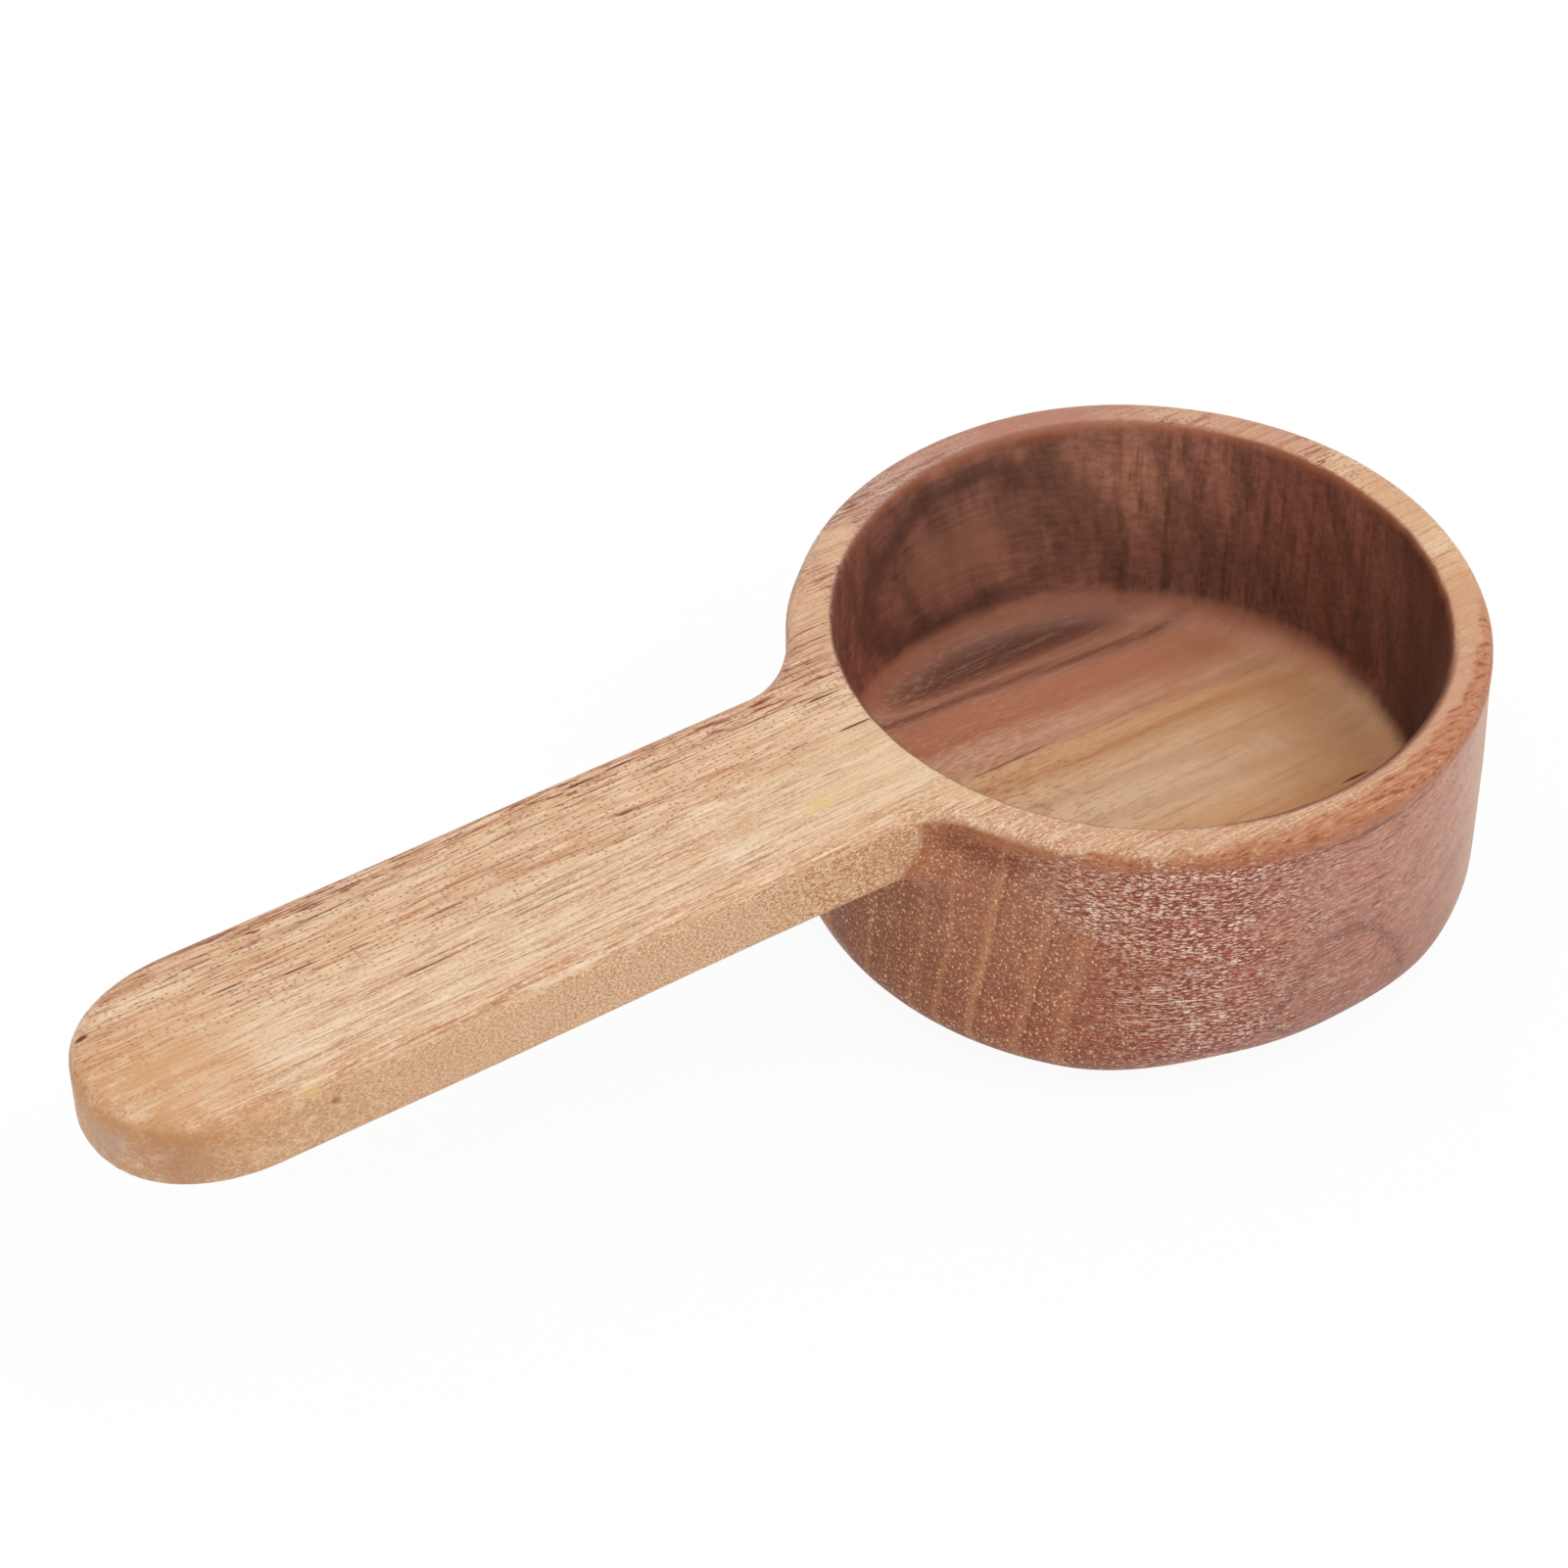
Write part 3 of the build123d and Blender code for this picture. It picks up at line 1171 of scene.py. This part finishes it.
    top_patches: tuple[Patch, ...] = (
        Patch((-26.0, -2.0, RIM), (11.0, 7.5, 3.0), Shade.CREAM, 0.5),
        Patch((-21.0, 13.0, RIM), (5.0, 7.0, 3.0), Shade.HONEY, 0.6),
        Patch((14.0, -20.0, RIM), (18.0, 9.0, 3.0), Shade.RIM_TAN, 0.75),
        Patch((21.0, -12.0, RIM), (6.0, 7.0, 3.0), Shade.TAN, 0.8),
        Patch((25.0, 0.0, RIM), (5.0, 7.0, 3.0), Shade.TAN, 0.6),
        Patch((20.5, 13.0, RIM), (7.0, 8.0, 3.0), Shade.RIM_TAN, 0.6),
        Patch((8.0, 22.8, RIM), (12.0, 5.0, 3.0), Shade.MAUVE, 0.85),
        Patch((-14.5, 19.5, RIM), (5.0, 3.5, 3.0), Shade.CREAM, 0.5),
        Patch((-80.0, -2.0, RIM), (8.0, 4.5, 2.0), Shade.GOLD, 0.4),
        Patch((-31.0, -4.0, RIM), (2.4, 0.8, 2.0), Shade.STRAW, 0.55),
        Patch((-74.6, -8.4, 23.6), (1.6, 1.1, 1.3), Shade.STRAW, 0.6),
        Patch((-84.0, -6.0, 24.4), (3.6, 2.2, 1.8), Shade.GOLD_BROWN, 0.45, 1.0, 2.0),
        Patch((-81.8, -7.6, 24.2), (1.6, 1.0, 1.2), Shade.ORANGE_BROWN, 0.6, 1.0, 2.0),
        Patch((-80.4, -1.0, RIM), (2.6, 1.2, 2.0), Shade.GOLD, 0.5, 1.0),
        Patch((-78.5, 2.8, RIM), (3.0, 1.2, 2.0), Shade.GOLD, 0.45, 1.0),
        Patch((-80.0, 7.6, RIM), (8.0, 1.8, 2.0), Shade.RIM_TAN, 0.45, 1.0),
    )
    side_patches: tuple[Patch, ...] = (
        Patch((-73.0, -8.6, 22.6), (0.7, 1.0, 0.6), Shade.LINE_BROWN, 0.75),
        Patch((-86.9, -2.2, 21.4), (2.8, 3.6, 3.2), Shade.ASH, 0.75, 1.0, 2.2),
        Patch((-83.6, -6.8, 21.4), (3.6, 3.2, 4.2), Shade.TIP_BROWN, 0.6, 0.7, 1.8),
    )
    wall_patches: tuple[Patch, ...] = (
        Patch((-26.2, -9.6, 21.0), (3.4, 4.0, 4.5), Shade.ORANGE_BROWN, 0.9, 0.9),
    )
    # Painted shade: a dark patch in the corner below the neck, where the handle meets the bowl's wall.
    neck_shade_patch: Patch = Patch((-23.2, -12.2, 22.9), (6.0, 6.0, 3.0), Shade.NECK_SHADE_BROWN, 1.0, 0.9, 2.0)
    floor_patches: tuple[Patch, ...] = (
        Patch((18.0, 0.0, FLOOR), (14.0, 18.0, 4.0), Shade.FLOOR_AMBER, 0.7, 1.0),
        Patch((-8.0, 15.0, FLOOR), (10.0, 2.0, 3.0), Shade.FLOOR_RUSSET, 0.4, 1.0),
        Patch((12.0, 11.0, FLOOR), (10.0, 5.0, 3.0), Shade.FLOOR_RUSSET, 0.5, 1.0),
        Patch((-4.5, 8.7, FLOOR), (5.0, 0.2, 1.5), Shade.LINE_BROWN, 0.6, 0.6, 1.0),
        Patch((16.2, -7.4, FLOOR), (1.8, 0.17, 1.5), Shade.SLIT, 0.9, 0.6, 0.8),
    )

    def build(self, spoon: CarvedSpoon) -> bpy.types.Material:
        """Writes the material.

        Args:
            spoon: The carved spoon, for its sizes.

        Returns:
            The material.
        """
        material = bpy.data.materials.new(self.name)
        material.use_nodes = True
        tree = material.node_tree
        billet = Billet(tree, spoon, self.ring_lean, self.seed)
        colour = self._flat_grain(billet)
        for layer in (self._handle_side, self._outer_wall, self._burnished_rim, self._hollow):
            colour = layer(billet, colour)

        height = billet.fibre * 0.4 - billet.pits * 0.6
        relief = {"Height": height, "Strength": 0.5, "Distance": self.relief_depth * MM}
        shader = tree.nodes["Principled BSDF"]
        inputs = {
            "Base Color": colour.socket,
            "Roughness": ramp(billet.fibre, 0.2, 0.8, self.smoothest, self.roughest),
            "Specular IOR Level": self.shine,
            "Normal": add(tree, "ShaderNodeBump", relief).outputs[0],
        }
        for name, value in inputs.items():
            feed(tree, shader.inputs[name], value)
        return material

    def _flat_grain(self, billet: Billet) -> Colour:
        """The flat long grain of the rim's and handle's top, with its lines, flecks and vessels.

        Args:
            billet: The wood's places.

        Returns:
            The colour.
        """
        near = ramp(billet.y, 0.5, -2.0)
        far = ramp(billet.y, 4.6, 7.2)
        tip = ramp(billet.x, -60.0, -80.0)
        waver = (billet.noise((0.03, 0.2, 0.2), shift=5.0) - 0.5) * 4.0
        across = billet.y + waver * 0.6
        sloped = billet.y + waver * 0.5 - (billet.x + 55.0) * near * 0.035
        grain = join(billet.tree, billet.x, sloped, billet.z)
        colour = Colour.striped(across, self.flat_stripes)
        broad = billet.noise((0.06, 1.3, 1.3), detail=3.0, rough=0.65, shift=21.0, place=grain)
        blurred = ramp(billet.x, -14.0, -4.0) * ramp(billet.y, 10.0, 16.0)
        calm = ramp(billet.x, -26.0, -16.0, 1.0, 0.6) - blurred * 0.25
        colour = colour.grained(broad, Shade.GRAIN_AND_SHADE_BROWN, Shade.PALE_FLECK_AND_SHEEN, calm * 0.5)
        colour = colour.grained(billet.fibre, Shade.GRAIN_AND_SHADE_BROWN, Shade.PALE_FLECK_AND_SHEEN, calm * 0.7)
        lines = billet.noise((0.05, 3.2, 3.2), detail=4.0, rough=0.75, shift=41.0, place=grain)
        strong = far * 0.4 + 0.4 - near * tip * 0.2 - blurred * 0.4
        colour = colour.tinted(Shade.LINE_BROWN, ramp(lines + far * 0.02, 0.56, 0.62) * strong)
        dashes = billet.noise((0.35, 4.4, 4.4), detail=2.0, rough=0.6, shift=46.0, place=grain)
        short = ramp(dashes + far * 0.03, 0.6, 0.66) * (strong + far * 0.15)
        colour = colour.tinted(Shade.LINE_BROWN, short)
        flecks = billet.noise((2.4, 6.0, 6.0), detail=2.0, rough=0.6, shift=81.0)
        rim_front = ramp(billet.y, -8.0, -14.0)
        fuzzy = near * ramp(billet.x, -10.0, -26.0) * 0.4 + 0.1 + rim_front * 0.3
        colour = colour.tinted(Shade.PALE_FLECK_AND_SHEEN, ramp(flecks, 0.52, 0.62) * fuzzy)
        colour = colour.tinted(Shade.PORE, billet.pits * (0.8 - near * 0.5))
        colour = colour.patched(billet, self.top_patches)
        return colour.patched(billet, self.slits, where=ramp(billet.fibre, 0.68, 0.55, 0.4, 1.0))

    def _handle_side(self, billet: Billet, colour: Colour) -> Colour:
        """The handle's sawn side and tip end, a finely speckled golden tan.

        Args:
            billet: The wood's places.
            colour: The colour so far.

        Returns:
            The colour with the side on it.
        """
        grit = billet.noise((4.0, 6.4, 7.4), detail=2.0, rough=0.75, shift=91.0)
        side = Colour.striped(billet.x, self.side_stripes)
        coarse = ramp(billet.x, -80.0, -35.0, 0.5, 1.0)
        side = side.grained(grit, Shade.GRAIN_AND_SHADE_BROWN, Shade.SAND, coarse, 0.12)
        blotches = billet.noise((0.9, 0.9, 1.2), detail=3.0, rough=0.7, shift=96.0)
        blotchy = ramp(billet.x, -68.0, -80.0, 0.12, 0.55)
        side = side.grained(blotches, Shade.TIP_BROWN, Shade.SAND, blotchy)
        side = side.patched(billet, self.side_patches)
        colour = colour.tinted(side, billet.steep * (1.0 - billet.on_bowl) * 0.9)
        tip = ramp(billet.x, -74.0, -83.0) * ramp(billet.y, 6.0, 0.0)
        worn_edge = ramp(abs(billet.z - 23.7 + billet.ragged * 5.0), 2.4, 0.1)
        return colour.tinted(Shade.AMBER, tip * worn_edge * (1.0 - billet.on_bowl) * 0.5)

    def _outer_wall(self, billet: Billet, colour: Colour) -> Colour:
        """The bowl's turned wall: speckled end grain, a worn part with pale fibres and painted glints,
        mauve long grain, painted shade under the handle, and a painted sheen at its right edge.

        Args:
            billet: The wood's places.
            colour: The colour so far.

        Returns:
            The colour with the wall on it.
        """
        soft = billet.noise((0.3, 0.3, 0.9), detail=3.0, rough=0.65, shift=101.0)
        turn = billet.turn + billet.ragged * 14.0 + (soft - 0.5) * 24.0
        wall = Colour.striped(turn, self.outer_turns)
        redder = ramp(turn, -100.0, -122.0, 0.15, 0.45)
        wall = wall.tinted(Shade.WINE_BROWN, ramp(billet.z, 14.0, 5.0) * redder)
        wall = wall.lit(ramp(soft, 0.28, 0.72, 0.84, 1.12) * ramp(billet.z, 2.0, 18.0, 0.88, 1.1))
        # Painted shade: the wall low down under the handle is made darker and browner.
        under = ramp(turn, -148.0, -162.0) * ramp(billet.z, 15.0, 7.0)
        wall = wall.lit(1.0 - under * 0.3).tinted(Shade.GRAIN_AND_SHADE_BROWN, under * 0.25)
        for line in self.ring_lines:
            near = ramp(abs(billet.rings + billet.ragged * 0.2 - line.place), line.width, 0.0)
            wall = wall.tinted(line.shade, near * line.strength)
        wall = wall.patched(billet, (*self.wall_patches, self.neck_shade_patch))
        wall = self._end_grain(billet, wall, abs(turn))
        wall = self._sparkle(billet, wall, turn, soft)
        wall = self._long_grain(billet, wall, turn)
        # Painted sheen: a pale tint where the wall turns away from the view on the right, standing in for a
        # reflection.
        facing = add(billet.tree, "ShaderNodeLayerWeight", {})
        painted_sheen = ramp(Amount(billet.tree, facing.outputs["Facing"]), 0.62, 0.95)
        wall = wall.tinted(Shade.PALE_FLECK_AND_SHEEN, painted_sheen * ramp(billet.turn, -70.0, -50.0) * 0.3)
        return colour.tinted(wall, billet.outer_wall)

    def _end_grain(self, billet: Billet, wall: Colour, flank: Amount) -> Colour:
        """The pale specks of the end grain, at the handle's side and away from it.

        Args:
            billet: The wood's places.
            wall: The wall's colour so far.
            flank: Turn round the bowl, in degrees to either side of the far end.

        Returns:
            The colour with the specks on it.
        """
        ends = ramp(flank, *self.end_grain_from, 0.12, 1.0) + ramp(flank, *self.far_end_until, 0.0, 0.45)
        dust = billet.noise((3.4, 3.4, 5.0), detail=2.0, rough=0.75, shift=45.0)
        wall = wall.grained(dust, Shade.DEEP_RED_BROWN, Shade.SPECK, ends * 0.36, 0.17)
        gap, pick = billet.cells((4.0, 4.0, 2.7), shift=40.0)
        specks = ramp(gap - pick * 0.3 + billet.ragged * 0.4, 0.13, 0.0)
        return wall.tinted(Shade.SPECK, specks * ends * (0.85 - billet.within(self.neck_shade_patch) * 0.6))

    def _sparkle(self, billet: Billet, wall: Colour, turn: Amount, soft: Amount) -> Colour:
        """The worn part between end grain and long grain: pale torn fibres, with painted glints where they
        catch the light.

        Args:
            billet: The wood's places.
            wall: The wall's colour so far.
            turn: Turn round the bowl in degrees, with a wandering edge.
            soft: Broad random values, for its patches.

        Returns:
            The colour with pale dashes and dark gaps on it.
        """
        lower = ramp(billet.z, 15.0, 19.0, 0.0, 9.0)
        worn = ramp(turn + lower, *self.worn_from) * ramp(turn, *self.worn_until)
        grazed = ramp(turn, -55.0, -98.0, 0.06, 0.42) * ramp(turn, -134.0, -126.0)
        low_spot = ramp(abs(turn + 111.0), 14.0, 5.0) * ramp(billet.z, 17.0, 11.0)
        high = ramp(billet.z, 12.0, 17.0, 0.35, 1.0) + low_spot * 0.5
        patchy = ramp(soft, 0.36, 0.6, 1.0, 0.45)
        fuzz = billet.noise((1.6, 1.6, 7.4), detail=3.0, rough=0.8, shift=111.0)
        gaps = ramp(fuzz, 0.5, 0.4)
        wall = wall.tinted(Shade.DEEP_RED_BROWN, gaps * (worn * 0.9 + grazed))
        wall = wall.tinted(Shade.DUSK_MAUVE, gaps * worn * ramp(billet.z, 14.0, 19.0) * 0.6)
        # Pale torn fibres with painted glints on them: pale fuzz, dashes and long marks on the worn part.
        wall = wall.tinted(Shade.PALE_FIBRE_AND_GLINT, ramp(fuzz, 0.55, 0.62) * (worn * patchy * high * 0.6 + grazed))
        gap, pick = billet.cells((2.0, 2.0, 6.8), shift=110.0)
        dashes = ramp(gap - pick * 0.36, 0.24, 0.06)
        wall = wall.tinted(Shade.PALE_FIBRE_AND_GLINT, dashes * worn * patchy * high)
        long_marks = billet.noise((0.3, 0.3, 6.0), shift=121.0)
        low_band = ramp(abs(billet.z - 9.5), 4.0, 1.0)
        return wall.tinted(Shade.PALE_FIBRE_AND_GLINT, ramp(long_marks, 0.6, 0.68) * worn * low_band * 0.7)

    def _long_grain(self, billet: Billet, wall: Colour, turn: Amount) -> Colour:
        """The wall's two flanks, where fibres and open vessels run level, and the front's fine crack.

        Args:
            billet: The wood's places.
            wall: The wall's colour so far.
            turn: Turn round the bowl in degrees, with a wandering edge.

        Returns:
            The colour with the long grain on it.
        """
        flank = abs(turn)
        level = ramp(flank, *self.long_grain_until) * ramp(flank, *self.long_grain_from)
        crisp = ramp(billet.turn, -70.0, -95.0, 0.06, 0.18) + ramp(billet.turn, 20.0, 60.0, 0.0, 0.2)
        wall = wall.grained(billet.fibre, Shade.DEEP_RED_BROWN, Shade.PALE_FIBRE_AND_GLINT, level * crisp)
        vessels = billet.noise((0.6, 4.6, 4.6), detail=2.0, rough=0.6, shift=171.0)
        rising = ramp(billet.z, 6.0, 16.0, 0.35, 0.65)
        wall = wall.tinted(Shade.LINE_BROWN, ramp(vessels, 0.58, 0.68) * level * rising)
        crack = ramp(billet.turn, *self.crack_turns, *self.crack_heights)
        near_crack = ramp(abs(billet.z - crack + billet.ragged * 1.4), 0.34, 0.04)
        broken = billet.noise((0.7, 0.7, 0.7), detail=2.0, rough=0.7, shift=181.0)
        shows = ramp(billet.turn, -68.0, -78.0) * ramp(billet.turn, -113.0, -97.0, 0.3, 0.9)
        shows = shows * ramp(billet.turn, -118.0, -113.0) * ramp(broken, 0.38, 0.54, 0.5, 1.0)
        return wall.tinted(Shade.DARK_WALNUT, near_crack * shows * 0.65)

    def _burnished_rim(self, billet: Billet, colour: Colour) -> Colour:
        """The orange-brown band that burnishing left along the rim's outer edge at the front, and painted
        shade on the mouth's eased edge.

        Args:
            billet: The wood's places.
            colour: The colour so far.

        Returns:
            The colour with the band and the painted shade on it.
        """
        front = ramp(abs(billet.turn - self.band_turn), 74.0, 52.0)
        width = ramp(abs(billet.turn - self.widest_turn), 64.0, 8.0, *self.band_widths)
        depth = billet.out - billet.spoon.bowl_radius + width + billet.ragged * 2.6
        strokes = billet.noise((0.6, 3.4, 3.4), detail=3.0, rough=0.7, shift=161.0)
        streaky = ramp(strokes, 0.34, 0.56, 0.35, 0.95)
        outer_band = ramp(depth, 0.0, 0.5) * front * ramp(billet.z, 22.6, 23.6) * streaky
        band = outer_band * (1.0 - billet.inside)
        colour = colour.tinted(Shade.ORANGE_BROWN, band)
        colour = colour.tinted(Shade.DEEP_RED_BROWN, band * ramp(strokes, 0.54, 0.66) * 0.7)
        # Painted shade: a dark line on the mouth's eased edge, where the rim turns down into the hollow.
        mouth = billet.spoon.bowl_radius - billet.spoon.wall_thickness
        mouth_edge_shade = ramp(billet.out - mouth, 0.95, 0.5) * ramp(billet.z, 23.6, 24.4)
        at_front = ramp(abs(billet.turn - self.mouth_turns[0]), 44.0, 24.0)
        at_back = ramp(abs(billet.turn - self.mouth_turns[1]), 50.0, 25.0) * 0.7
        return colour.tinted(Shade.DEEP_RED_BROWN, mouth_edge_shade * (at_front + at_back) * 0.8)

    def _hollow(self, billet: Billet, colour: Colour) -> Colour:
        """The measuring hollow: striped floor, dark walls, a pale oval ringed by a dark swirl, and a
        painted glint along the top edge.

        Args:
            billet: The wood's places.
            colour: The colour so far.

        Returns:
            The colour with the hollow in it.
        """
        waver = (billet.noise((0.06, 0.3, 0.3), shift=7.0) - 0.5) * 2.0
        across = billet.y + waver + billet.x * self.floor_lean
        floor = Colour.striped(across, self.floor_stripes)
        streaks = billet.noise((0.1, 1.8, 1.8), detail=3.0, rough=0.65, shift=131.0)
        heart = ramp(billet.y, 9.0, 15.0, 1.0, 0.4)
        floor = floor.grained(streaks, Shade.FLOOR_GRAIN, Shade.FLOOR_CREAM, heart * 0.34)
        crumbs = billet.noise((0.9, 3.4, 3.4), detail=2.0, rough=0.7, shift=136.0)
        crisp = ramp(billet.x, 6.0, -8.0, 0.14, 0.55)
        floor = floor.grained(crumbs, Shade.FLOOR_GRAIN, Shade.FLOOR_CREAM, heart * crisp, 0.16)
        for place in self.floor_rings:
            near = ramp(abs(across - place), 1.1, 0.1)
            floor = floor.tinted(Shade.FLOOR_GRAIN, near * 0.24)
        floor = floor.patched(billet, self.floor_patches)

        slanted = billet.turn - (billet.z - 15.0) * 0.7
        walls = Colour.striped(slanted + billet.ragged * 8.0, self.inner_turns)
        bands = join(billet.tree, slanted * 0.14, billet.z * 0.08, 0.0)
        strokes = billet.noise((1.0, 1.0, 1.0), detail=3.0, rough=0.65, shift=141.0, place=bands)
        walls = walls.lit(ramp(strokes, 0.3, 0.7, 0.66, 1.26))
        upright = billet.noise((1.3, 1.3, 0.14), detail=3.0, rough=0.7, shift=151.0)
        ends = ramp(abs(billet.turn - 90.0), 18.0, 42.0)
        rise = ramp(billet.turn, 75.0, 55.0, -0.15, 0.34)
        rise = rise + ramp(abs(billet.turn - 47.0), 18.0, 8.0) * 0.25
        walls = walls.tinted(Shade.HOLLOW_DARK, ramp(upright, 0.54, 0.34) * (ends * 0.42 + 0.1))
        level = 1.0 + (ramp(billet.z, 11.0, 21.0) - 0.4) * rise
        walls = walls.lit(level * ramp(streaks, 0.3, 0.7, 0.8, 1.18))
        back = ramp(billet.y, 9.0, 14.0)
        aside = (billet.x - self.oval_middle[0]) / self.oval_radii[0]
        above = (billet.z - self.oval_middle[1]) / self.oval_radii[1]
        oval = span(aside, above) + billet.ragged * 0.7
        walls = walls.tinted(Shade.HOLLOW_OVAL, ramp(oval, 1.1, 0.3) * back * 0.5)
        swirl = ramp(abs(oval - self.swirl_ring), 0.42, 0.05) * ramp(billet.x, 8.0, 2.0, 0.3, 0.6)
        walls = walls.tinted(Shade.DARK_WALNUT, swirl * back)
        # Painted glint: a thin orange highlight along the top edge of the hollow's wall.
        painted_glint_edge = ramp(billet.z + billet.ragged * 1.6, 23.5, 24.4)
        walls = walls.tinted(Shade.GLINT, painted_glint_edge * ramp(abs(billet.turn - 40.0), 95.0, 60.0) * 0.7)
        both = floor.tinted(walls, ramp(billet.z + billet.ragged * 0.8, *self.floor_seam))
        foot = ramp(abs(billet.z - self.foot_height), 1.4, 0.3)
        foot = foot * ramp(abs(billet.turn - self.foot_turn), 75.0, 50.0)
        both = both.tinted(Shade.FLOOR_RUSSET, foot * 0.5)
        return colour.tinted(both, billet.inside)


def main() -> None:
    """Builds the studio and the spoon."""
    logging.basicConfig(level=logging.INFO, format="%(name)s: %(message)s")
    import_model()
    Studio().build()
    spoon = CarvedSpoon(*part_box(SPOON_NODE))
    spoon.build(OiledHardwood().build(spoon))


if __name__ == "__main__":
    main()
